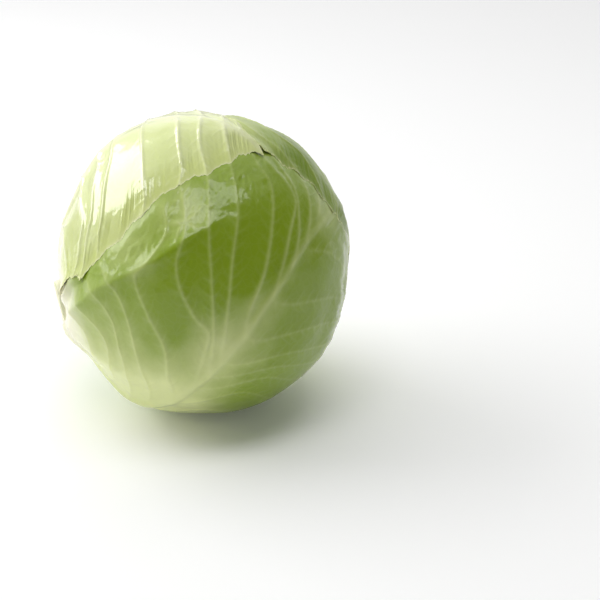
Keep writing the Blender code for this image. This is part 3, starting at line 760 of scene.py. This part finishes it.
def leaf_form(name):
    """Inner and outer points of a leaf, and what its finish needs to know at each point."""
    leaf = LEAVES[name]
    grid, base, distances = lie_of(name)
    near, midrib, ribs, shoulders, branches = veins_of(leaf, grid)
    edge = edge_distance(grid)
    showing = uncovered(name, distances, 0.0, SHOWING_REACH)
    near_edge = (1 - smooth_step(edge / EDGE_WIDTH)) * showing
    settled = (1 - smooth_step(edge / SETTLE_WIDTH)) * showing
    strength = 1 + patchy(grid, PATCHES)
    free = off_the_floor(grid)
    u, v = grid_numbers(leaf)

    tip = 1 - TIP_LOSS * smooth_step((u - TIP_FADE[0]) / TIP_FADE[1])
    broad = broad_relief(name, grid, distances, midrib, shoulders) * (1 - 0.5 * near_edge) * tip
    bare = uncovered(name, distances, 0.0, BARE_REACH) * free
    fine = leaf["crinkle"] * strength * crinkles(grid, leaf["seed"]) * (1 - 0.9 * near_edge)
    lip = LIP * ragged(u + 0.13 * v, 5, leaf["seed"] + 7) * np.exp(-edge / LIP_WIDTH)
    drop = GAP + RIB_ROOM - EDGE_GAP + hover(name, distances)
    settle = drop * settled * smooth_step(u / SETTLE_START)
    inner = base + broad * free + (fine + lip) * bare - settle
    if name == "crown":
        for along, around, height, spread in STAND_OFFS:
            spot = ways(np.array(along), np.array(around))
            inner = inner + height * np.exp(-((angle_between(grid, spot) / spread) ** 2))

    def at_stem(start, reach):
        """1 near the stem, 0 past start + reach degrees from it."""
        return 1 - smooth_step((angle_between(grid, STEM_WAY) - start) / reach)

    blade = BLADE + (EDGE_BLADE - BLADE) * near_edge
    blade = blade + FLESH[name] * at_stem(*FLESH_FADE) * bare
    crests = leaf["rib"] * SIDE_RIB["height"] * ribs * (1 - 0.4 * near_edge) * tip
    outer = inner + blade + (crests + BRANCH["height"] * branches) * bare

    marks = {
        "rib": ribs,
        "midrib": midrib,
        "shoulder": shoulders,
        "branch": branches,
        # rim: the pale edge, partly the edge's own colour and partly painted light caught by it
        "rim": np.exp(-edge / RIM_WIDTH),
        "crinkle": np.clip((strength - 1) / 2, 0, 1) * bare,
        "pale": np.maximum(near, at_stem(*PALE_FADE)),
        # tone: paler and greener patches; round the front leaf's fold they are partly painted light
        # and shade
        "tone": patchy(grid, TONES_AND_PAINTED_LIGHT.get(name, [])) * np.ones_like(edge),
        "dull": (1 - smooth_step(edge / DULL_WIDTH)) * (name == "crown"),
        "base": at_stem(*CREAM_FADE.get(name, OTHER_CREAM_FADE)),
    }
    return grid, inner, outer, marks


# %% [markdown]
# ## From two grids to a closed mesh
# The outer face gets every point. The inner face is hidden, so it gets every fourth line, and a
# rim of triangles fans between the two. A Solidify modifier would be simpler, but doubles the
# count of faces and gives an even thickness.

# %% Meshes
SHARP_DEGREES = 60


def face_quads(numbers, flip):
    """Four corners for each cell of a grid, turned over where flip is set."""
    corners = [numbers[:-1, :-1], numbers[1:, :-1], numbers[1:, 1:], numbers[:-1, 1:]]
    quads = np.stack(corners[::-1] if flip else corners, axis=-1)
    return quads.reshape(-1, 4)


def volume(points, faces):
    """A closed mesh's volume, below 0 where its faces look inward: a sum of slim pyramids."""
    total = 0.0
    for i in (1, 2):
        a, b, c = (points[[face[k % len(face)] for face in faces]] for k in (0, i, i + 1))
        total += (a * np.cross(b, c)).sum() / 6
    return total


def add_piece(name, points, faces, marks, finish, node, slot):
    """A mesh object with an attribute for each mark, riding on the root body."""
    if volume(points, faces) < 0:
        faces = [face[::-1] for face in faces]
    mesh = bpy.data.meshes.new(name)
    mesh.from_pydata(points.tolist(), [], faces)
    for mark, values in marks.items():
        layer = mesh.attributes.new(mark, "FLOAT", "POINT")
        layer.data.foreach_set("value", values.astype(np.float32))
    mesh.shade_smooth()
    mesh.set_sharp_from_angle(angle=np.radians(SHARP_DEGREES))
    mesh.materials.append(finish)
    piece = bpy.data.objects.new(name, mesh)
    bpy.context.scene.collection.objects.link(piece)
    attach(piece, "root")
    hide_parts(node)
    triangles = sum(len(face) - 2 for face in faces)
    print(f"{name}: {len(points)} points, {triangles} triangles")


def add_leaf(name, finish):
    """The leaf's outer face, its coarse inner face and the rim between them."""
    grid, inner, outer, marks = leaf_form(name)
    rows, lines = outer.shape
    top = np.arange(rows * lines).reshape(rows, lines)
    under = top[-1, -1] + 1 + np.arange(top[::COARSE, ::COARSE].size)
    under = under.reshape(top[::COARSE, ::COARSE].shape)
    way = grid[::COARSE, ::COARSE]
    points = np.concatenate([
        (CENTRE + grid * outer[..., None]).reshape(-1, 3),
        (CENTRE + way * inner[::COARSE, ::COARSE, None]).reshape(-1, 3),
    ])
    fine, plain = ring_of(top), ring_of(under)
    step = np.arange(len(fine))
    anchor = plain[((step + COARSE // 2) // COARSE) % len(plain)]
    fans = np.stack([fine, np.roll(fine, -1), anchor], axis=-1)
    middles = fine[COARSE // 2::COARSE]
    bridges = np.stack([middles, np.roll(plain, -1), plain], axis=-1)
    faces = face_quads(top, False).tolist() + face_quads(under, True).tolist()
    rim = np.concatenate([fans, bridges])[:, ::-1].tolist()
    marks = {
        mark: np.concatenate([values.ravel(), values[::COARSE, ::COARSE].ravel()])
        for mark, values in marks.items()
    }
    slot = LEAVES[name]["slot"]
    add_piece(f"{name}_leaf", points, faces + rim, marks, finish, f"leaf_{name}", slot)


# %% [markdown]
# ## Shader sums as Python expressions
# A finish is a graph of nodes. Wrapping a socket in a small class lets ordinary arithmetic add
# the Math nodes, so a mask reads like the sum it is.

# %% A socket that does sums


class Value:
    """A node's output socket. Its sums and products are Math nodes, also with a number first."""

    def __init__(self, tree, socket):
        self.tree = tree
        self.socket = socket

    def math(self, operation, *terms):
        """A Math node that applies one operation to values or numbers."""
        node = self.tree.nodes.new("ShaderNodeMath")
        node.operation = operation
        for place, term in zip(node.inputs, terms):
            if isinstance(term, Value):
                self.tree.links.new(term.socket, place)
            else:
                place.default_value = term
        return Value(self.tree, node.outputs[0])

    def __add__(self, other):
        return self.math("ADD", self, other)

    def __sub__(self, other):
        return self.math("SUBTRACT", self, other)

    def __rsub__(self, other):
        return self.math("SUBTRACT", other, self)

    def __mul__(self, other):
        return self.math("MULTIPLY", self, other)

    def clipped(self):
        """The value held between 0 and 1."""
        return self.math("MINIMUM", self.math("MAXIMUM", self, 0.0), 1.0)

    __radd__ = __add__
    __rmul__ = __mul__


# %% [markdown]
# ## Adding nodes
# One method adds any other node: it takes the node's type, its settings, and its sockets by name
# or, as s0, s1 and so on, by number. A finish is such a graph with a Principled shader.

# %% Graphs and finishes
OBJECT_PLACE = 3


class Graph:
    """A tree of nodes, which add() makes one by one."""

    def __init__(self, tree):
        self.tree = tree

    def add(self, kind, settings=None, output=0, **sockets):
        """Adds a node, sets its settings, then its sockets, and returns one output."""
        node = self.tree.nodes.new(kind)
        for setting, value in (settings or {}).items():
            setattr(node, setting, value)
        for socket, value in sockets.items():
            place = node.inputs[int(socket[1:])] if socket[1:].isdigit() else node.inputs[socket]
            self.give(place, value)
        return Value(self.tree, node.outputs[output])

    def give(self, place, value):
        """Links a value to a socket, or sets a number or a colour on it."""
        if isinstance(value, Value):
            self.tree.links.new(value.socket, place)
        else:
            place.default_value = value

    def steps(self, value, low, high, least=0.0, most=1.0):
        """The least below low and the most above high, smooth between."""
        return self.add(
            "ShaderNodeMapRange", {"interpolation_type": "SMOOTHSTEP"},
            s0=value, s1=low, s2=high, s3=least, s4=most,
        )


class Finish(Graph):
    """A material and its Principled shader."""

    def __init__(self, name, **plain):
        self.material = bpy.data.materials.new(name)
        self.material.use_nodes = True
        super().__init__(self.material.node_tree)
        self.shader = self.tree.nodes["Principled BSDF"]
        self.feed(**plain)

    def feed(self, **sockets):
        """Gives the shader's sockets their values, by name, with _ for a space."""
        for socket, value in sockets.items():
            self.give(self.shader.inputs[socket.replace("_", " ")], value)

    def mark(self, name):
        """One of the piece's own attributes, as a number."""
        return self.add("ShaderNodeAttribute", {"attribute_name": name}, output=2)

    def place(self):
        """The point itself, in the piece's own metres."""
        return self.add("ShaderNodeTexCoord", output=OBJECT_PLACE)

    def noise(self, scale, detail=3.0, roughness=0.5):
        """Cloudy noise from 0 to 1, with scale patches to a metre."""
        return self.add(
            "ShaderNodeTexNoise",
            Vector=self.place(), Scale=scale, Detail=detail, Roughness=roughness,
        )

    def blend(self, share, first, second):
        """A mix of two colours."""
        settings = {"data_type": "RGBA"}
        return self.add("ShaderNodeMix", settings, output=2, s0=share, s6=first, s7=second)


def paint(red, green, blue):
    """A screen colour, 0 to 255, as the linear one that shaders use."""
    c = np.array([red, green, blue]) / 255
    linear = np.where(c <= 0.04045, c / 12.92, ((c + 0.055) / 1.055) ** 2.4)
    return (*linear.tolist(), 1.0)


# %% [markdown]
# ## Leaf finish
# A cabbage leaf is pale where it is thick, at the base and on the ribs, and greener out in the
# blade. A waxy skin gives it a soft gloss, but for the crown leaf's edge, which is dull. The
# branches and a fine net of veins show as slightly lighter lines. The thin edge gets a pale rim,
# partly its own colour and partly painted light that the edge catches and lets through. Patches of
# tone are mixed in, and on the front leaf some are painted light above the fold and painted shade
# below it.

# %% Leaf material
BASE_CREAM = paint(242, 238, 212)

# Patches of each pattern to a metre
BROAD, MOTTLE, BEND, NET, CRINKLE, GRAIN = 24.0, 95.0, 60.0, 210.0, 260.0, 900.0
BEND_BY = 0.006


def leaf_finish(name, pale, green, rib, rim, greenness, wax, gloss_index):
    """Green away from midrib and stem, by broad mottling and by tone patches, which on the front
    leaf are partly painted light and shade; then ribs, net and a pale rim, partly painted edge
    light, on top.
    """
    pale, green, rib, rim = paint(*pale), paint(*green), paint(*rib), paint(*rim)
    finish = Finish(
        name, IOR=1.4, Coat_Roughness=0.12, Coat_IOR=gloss_index,
        Specular_IOR_Level=0.35,
        Subsurface_Weight=0.15, Subsurface_Radius=(1.0, 1.0, 0.35), Subsurface_Scale=0.002,
    )
    broad = finish.noise(BROAD, 2.0)
    mottle = finish.noise(MOTTLE, 4.0)
    thick = (finish.mark("pale") + finish.mark("shoulder") * 0.25).clipped()
    mottling = (broad - 0.5) * 0.7 + (mottle - 0.5) * 0.25
    # tone adds patches of colour; round the front leaf's fold it is painted light above and shade
    # below
    share = (greenness - thick * 0.6 - finish.mark("tone") + mottling).clipped()
    blade = finish.blend(share, pale, green)

    place = finish.place()
    bent = finish.add(
        "ShaderNodeVectorMath", {"operation": "MULTIPLY_ADD"},
        s0=finish.add("ShaderNodeTexNoise", output=1, Vector=place, Scale=BEND),
        s1=(BEND_BY, BEND_BY, BEND_BY), s2=place,
    )
    net = finish.add(
        "ShaderNodeTexVoronoi", {"feature": "DISTANCE_TO_EDGE"}, Vector=bent, Scale=NET
    )
    net_line = 1 - finish.steps(net, 0.0, 0.12)
    veined = finish.blend((finish.mark("branch") * 0.10 + net_line * 0.03).clipped(), blade, rib)
    rib_share = finish.mark("rib") * 0.38 + finish.mark("midrib") * 0.8
    ribbed = finish.blend(rib_share.clipped(), veined, rib)
    # The pale rim is partly painted light: the light that the thin edge catches and lets through
    rimmed = finish.blend((finish.mark("rim") * 0.85).clipped(), ribbed, rim)
    colour = finish.blend((finish.mark("base") * 0.9).clipped(), rimmed, BASE_CREAM)

    grain = finish.noise(GRAIN, 3.0)
    crinkle = finish.noise(CRINKLE, 4.0, roughness=0.6)
    height = net_line * 0.1 + grain * 0.10 + crinkle * (finish.mark("crinkle") * 0.9 + 0.15)
    bump = finish.add("ShaderNodeBump", Strength=0.3, Distance=0.0006, Height=height)
    rough = 0.40 + (mottle - 0.5) * 0.16 + (grain - 0.5) * 0.06
    coat = wax * (1 - finish.mark("dull") * 0.85)
    finish.feed(Base_Color=colour, Roughness=rough, Coat_Weight=coat, Normal=bump)
    return finish.material


# %% [markdown]
# ## Making the leaves
# With the form, the mesh and the finish in hand, each leaf is one call. The colours are those of
# the pale blade, the green blade, the ribs and the rim, which is partly painted edge light, and the
# numbers the greenness, the wax and how strongly the wax reflects.

# %% The five wrapper leaves
FINISHES = {
    "front": ((224, 232, 162), (136, 162, 26), (224, 232, 164), (226, 232, 156), 1.0, 0.65, 1.5),
    "crown": ((220, 227, 160), (198, 211, 116), (240, 241, 204), (236, 238, 180), 0.85, 1.0, 2.0),
    "back": ((204, 217, 132), (122, 148, 34), (216, 225, 156), (226, 231, 160), 1.0, 0.3, 1.5),
    "inner": ((226, 231, 170), (202, 214, 122), (242, 243, 210), (232, 235, 172), 0.85, 0.8, 1.5),
    "under": ((210, 222, 142), (164, 186, 72), (222, 230, 164), (226, 231, 160), 0.9, 0.5, 1.5),
}
for name, values in FINISHES.items():
    add_leaf(name, leaf_finish(f"{name} leaf", *values))

# %% [markdown]
# ## The cut stem
# The knife leaves a flat moist disc: a cream pith, a faint ring of strands and a thin greener
# rind. The disc is a grid in polar form, gently uneven, and its side runs back into the head.

# %% The stem's form and finish
STEM_RADIUS = 0.0120
STEM_REACH = 0.0885
STEM_ROOT = 0.0640
SPREAD = 1.03
CUT_EDGE = 0.0012
RIDGE = 0.00005
RIDGE_TURN = 0.6
RIDGES_PER_METRE = 2600
FIBRES, SPECKS = 420.0, 260.0

# The profile from the middle of the cut to the root's end: share of the radius, depth
STEM_STATIONS = [
    (0.0, 0.0009), (0.30, 0.0008), (0.60, 0.0006), (0.82, 0.0004), (0.93, 0.0001),
    (0.985, -0.0006), (1.0, -0.0018), (1.0, -0.0060), (0.985, -0.0130), (0.95, -0.0200),
    (0.6, -0.0243), (0.0, -0.0245),
]


def stem_form(rings=72, sides=120):
    """A smooth profile of (radius, depth), turned, out of round by two waves, with saw ridges."""
    profile = through(np.array(STEM_STATIONS), np.linspace(0, 1, rings))
    angle = np.linspace(0, 2 * np.pi, sides, endpoint=False)
    a, radius = np.meshgrid(angle, np.clip(profile[:, 0], 0, None))
    depth = profile[:, 1][:, None] + np.zeros_like(a)
    uneven = 1 + 0.022 * np.sin(3 * a + 0.7) + 0.015 * np.sin(5 * a + 2.1)
    radius = radius * uneven * STEM_RADIUS * SPREAD
    face = smooth_step((depth + CUT_EDGE) / CUT_EDGE)
    depth = depth + face * RIDGE * np.sin(radius * np.cos(a - RIDGE_TURN) * RIDGES_PER_METRE)
    x, y = radius * np.cos(a), radius * np.sin(a)
    side = unit(np.cross(STEM_WAY, UP_WAY))
    places = (STEM_REACH + depth)[..., None] * STEM_WAY + x[..., None] * UP_WAY
    return CENTRE + (places + y[..., None] * side), face, radius / STEM_RADIUS


def stem_finish():
    """Cream pith, a ring of strands near the rind, a greener rind and dried brown specks."""
    finish = Finish("cut stem", Roughness=0.5, IOR=1.4, Coat_Weight=0.1, Coat_Roughness=0.3)
    cut, out = finish.mark("cut"), finish.mark("out")
    fibre = finish.noise(FIBRES, 4.0)
    strands = finish.steps(out, 0.66, 0.74) * (1 - finish.steps(out, 0.82, 0.90))
    speckle = finish.steps(finish.noise(SPECKS, 3.0), 0.60, 0.74)
    pith = finish.blend(fibre, paint(246, 243, 220), paint(232, 227, 190))
    ringed = finish.blend(strands * 0.55, pith, paint(198, 196, 132))
    rind = finish.steps(out, 0.93, 1.0) * cut
    rinded = finish.blend(rind * 0.7, ringed, paint(186, 198, 132))
    side = finish.blend(cut, paint(240, 240, 210), rinded)
    colour = finish.blend(speckle * cut * 0.5, side, paint(158, 128, 76))
    bump = finish.add("ShaderNodeBump", Strength=0.4, Distance=0.0004, Height=fibre)
    finish.feed(Base_Color=colour, Roughness=0.42 + fibre * 0.2, Normal=bump)
    return finish.material


def add_rings(name, places, marks, finish, node, slot):
    """Rings joined by quads, where the first and the last ring are each one point."""
    rings, sides = places.shape[:2]
    numbers = 1 + np.arange((rings - 2) * sides).reshape(rings - 2, sides)
    wrapped = np.concatenate([numbers, numbers[:, :1]], axis=1)
    last = numbers[-1, -1] + 1
    points = np.concatenate([places[:1, 0], places[1:-1].reshape(-1, 3), places[-1:, 0]])
    first_fan = np.stack([np.zeros(sides, int), wrapped[0, :-1], wrapped[0, 1:]], axis=-1)
    last_fan = np.stack([np.full(sides, last), wrapped[-1, 1:], wrapped[-1, :-1]], axis=-1)
    faces = face_quads(wrapped, False).tolist() + first_fan.tolist() + last_fan.tolist()
    marks = {m: np.concatenate([v[:1, 0], v[1:-1].ravel(), v[-1:, 0]]) for m, v in marks.items()}
    add_piece(name, points, faces, marks, finish, node, slot)


places, cut, out = stem_form()
add_rings("cut_stem", places, {"cut": cut, "out": out}, stem_finish(), "stem", "stem")

# %% [markdown]
# ## The heart
# Only slits of the heart show, between the leaves at the stem and round the tip. It is a ball of
# packed pale leaves, with a socket that the stem's root sits in. Its form is the one that the
# leaves were stacked on, a little smaller.

# %% The heart's form and finish
HEART_GAP = 0.0009
SOCKET_CLEARANCE = 0.0006
HEART_FOLD = 0.0004
HEART_FOLD_LENGTH = 0.05
HEART_MOTTLE = 60.0


def heart_form(rings=110, sides=180):
    """The socket's floor and wall, then the ball: the base radius less a gap and low folds."""
    room = STEM_RADIUS + SOCKET_CLEARANCE
    lip = np.degrees(np.arcsin(room / (HEAD_RADIUS - HOLLOW_DEPTH)))
    around = np.linspace(0, 360, sides, endpoint=False)
    points = ways(*np.meshgrid(np.linspace(lip, 180, rings), around, indexing="ij"))
    distances = {n: outside(leaf, points) for n, leaf in LEAVES.items()}
    radius = base_radius("heart", points, distances) - HEART_GAP
    folds = 1 - np.abs(ripple(points, HEART_FOLD_LENGTH, 9, 3))
    radius -= HEART_FOLD * folds * off_the_floor(points)
    ball = points * radius[..., None]
    depth = (ball[0] @ STEM_WAY)[:, None] * STEM_WAY
    wall = unit(ball[0] - depth) * room
    floor_depth = (STEM_ROOT - SOCKET_CLEARANCE) * STEM_WAY
    ball[0] = wall + depth
    ball[-1] = ball[-1].mean(0)
    rings_in = np.stack([0 * wall + floor_depth, wall + floor_depth])
    return CENTRE + np.concatenate([rings_in, ball])


def heart_finish():
    """Pale packed leaves, mottled from cream to yellow-green."""
    finish = Finish("heart", IOR=1.4, Coat_Weight=0.3, Coat_Roughness=0.25)
    tone = finish.noise(HEART_MOTTLE, 4.0)
    finish.feed(
        Base_Color=finish.blend(tone, paint(222, 224, 172), paint(196, 206, 138)),
        Roughness=0.38 + tone * 0.15,
    )
    return finish.material


add_rings("packed_heart", heart_form(), {}, heart_finish(), "heart", "heart_leaf")

# %% [markdown]
# ## Camera
# The camera looks down at 25 degrees from the front. A long lens keeps the head's outline nearly
# round. Lens and aim are set for a square picture, 600 pixels a side, with the head left of its
# middle.

# %% Camera
PIXELS = 600
HEAD_PIXEL = (203, 262)
HEAD_PIXEL_RADIUS = 151
HEAD_HALF = 0.0905
PIXEL = HEAD_HALF / HEAD_PIXEL_RADIUS
DISTANCE = 1.1
ELEVATION = np.radians(25)
SENSOR = 36.0
HEAD_MIDDLE = np.array([0.0, 0.0, 0.0875])
right = np.array([1.0, 0.0, 0.0])
up = np.array([0.0, np.sin(ELEVATION), np.cos(ELEVATION)])
toward = np.array([0.0, -np.cos(ELEVATION), np.sin(ELEVATION)])
across, down = PIXELS / 2 - HEAD_PIXEL[0], PIXELS / 2 - HEAD_PIXEL[1]
aim = HEAD_MIDDLE + PIXEL * (right * across - up * down)
eye = aim + toward * DISTANCE
camera_data = bpy.data.cameras.new("camera")
camera_data.sensor_width = SENSOR
camera_data.lens = SENSOR * DISTANCE / (PIXELS * PIXEL)
camera = bpy.data.objects.new("camera", camera_data)
camera.location = eye
camera.rotation_euler = Vector(toward).to_track_quat("Z", "Y").to_euler()
bpy.context.scene.collection.objects.link(camera)
bpy.context.scene.camera = camera
print("camera at", np.round(eye, 3), "lens", round(camera_data.lens, 1))

# %% [markdown]
# ## Light
# A softbox at the upper left makes the bright window on the crown leaf. A wide one overhead makes
# the sheen above the fold, and a large ceiling light whitens the floor, which throws light back
# up at the head's underside. The room is bright only at the back left, so the side that faces
# the camera is the darkest.

# %% Softboxes


def softbox(name, way, distance, size, power):
    """A rectangle of light at a distance along a way from the head's centre, facing it."""
    data = bpy.data.lights.new(name, "AREA")
    data.shape = "RECTANGLE"
    data.size, data.size_y = size
    data.energy = power
    box = bpy.data.objects.new(name, data)
    way = Vector(way).normalized()
    box.location = Vector(CENTRE) + way * distance
    box.rotation_euler = way.to_track_quat("Z", "Y").to_euler()
    box.visible_camera = False
    bpy.context.scene.collection.objects.link(box)


softbox("window softbox", (-0.74, 0.29, 0.57), 1.0, (0.89, 0.52), 4.9)
softbox("left fill", (-0.88, -0.40, 0.15), 1.2, (1.0, 1.0), 1.5)
softbox("overhead softbox", (0.09, -0.20, 1.0), 1.4, (1.30, 0.44), 6.8)
softbox("ceiling", (0.0, 0.30, 1.0), 1.8, (2.2, 2.0), 5.2)
softbox("back softbox", (0.0, 0.93, 0.40), 1.5, (2.2, 0.8), 1.5)
print("lights:", [light.name for light in bpy.data.lights])

# %% [markdown]
# ## Room and floor
# The room's brightness grows smoothly from dim to a bright wall at the back left. The floor is one
# large pale square that glows a little, in place of the light that a white studio throws on it.

# %% The room and the floor
DIM_ROOM = 0.08
BRIGHT_WALL = 0.95
BACK_LEFT = (-0.55, 0.84, 0.0)
WALL_FROM, WALL_TO = -0.3, 0.7
world = bpy.data.worlds.new("room")
bpy.context.scene.world = world
world.use_nodes = True
room = Graph(world.node_tree)
toward_wall = room.add(
    "ShaderNodeVectorMath", {"operation": "DOT_PRODUCT"}, output=1,
    s0=room.add("ShaderNodeTexCoord"), s1=BACK_LEFT,
)
glow = room.steps(toward_wall, WALL_FROM, WALL_TO, DIM_ROOM, BRIGHT_WALL)
background = world.node_tree.nodes["Background"].inputs
room.give(background["Strength"], glow)
room.give(background["Color"], (1, 1, 1, 1))

FLOOR_DROP = 0.0001
FLOOR_HALF = 60.0
floor_mesh = bpy.data.meshes.new("floor")
corners = [(-1, -1), (1, -1), (1, 1), (-1, 1)]
points = [(x * FLOOR_HALF, y * FLOOR_HALF, -FLOOR_DROP) for x, y in corners]
floor_mesh.from_pydata(points, [], [(0, 1, 2, 3)])
floor_finish = Finish(
    "floor", Base_Color=paint(250, 250, 250), Roughness=0.9, Specular_IOR_Level=0.1,
    Emission_Color=(1, 1, 1, 1), Emission_Strength=0.07,
)
floor_mesh.materials.append(floor_finish.material)
floor = bpy.data.objects.new("floor", floor_mesh)
bpy.context.scene.collection.objects.link(floor)
bpy.context.scene.view_settings.view_transform = "Standard"
print("floor:", 2 * FLOOR_HALF, "m square")
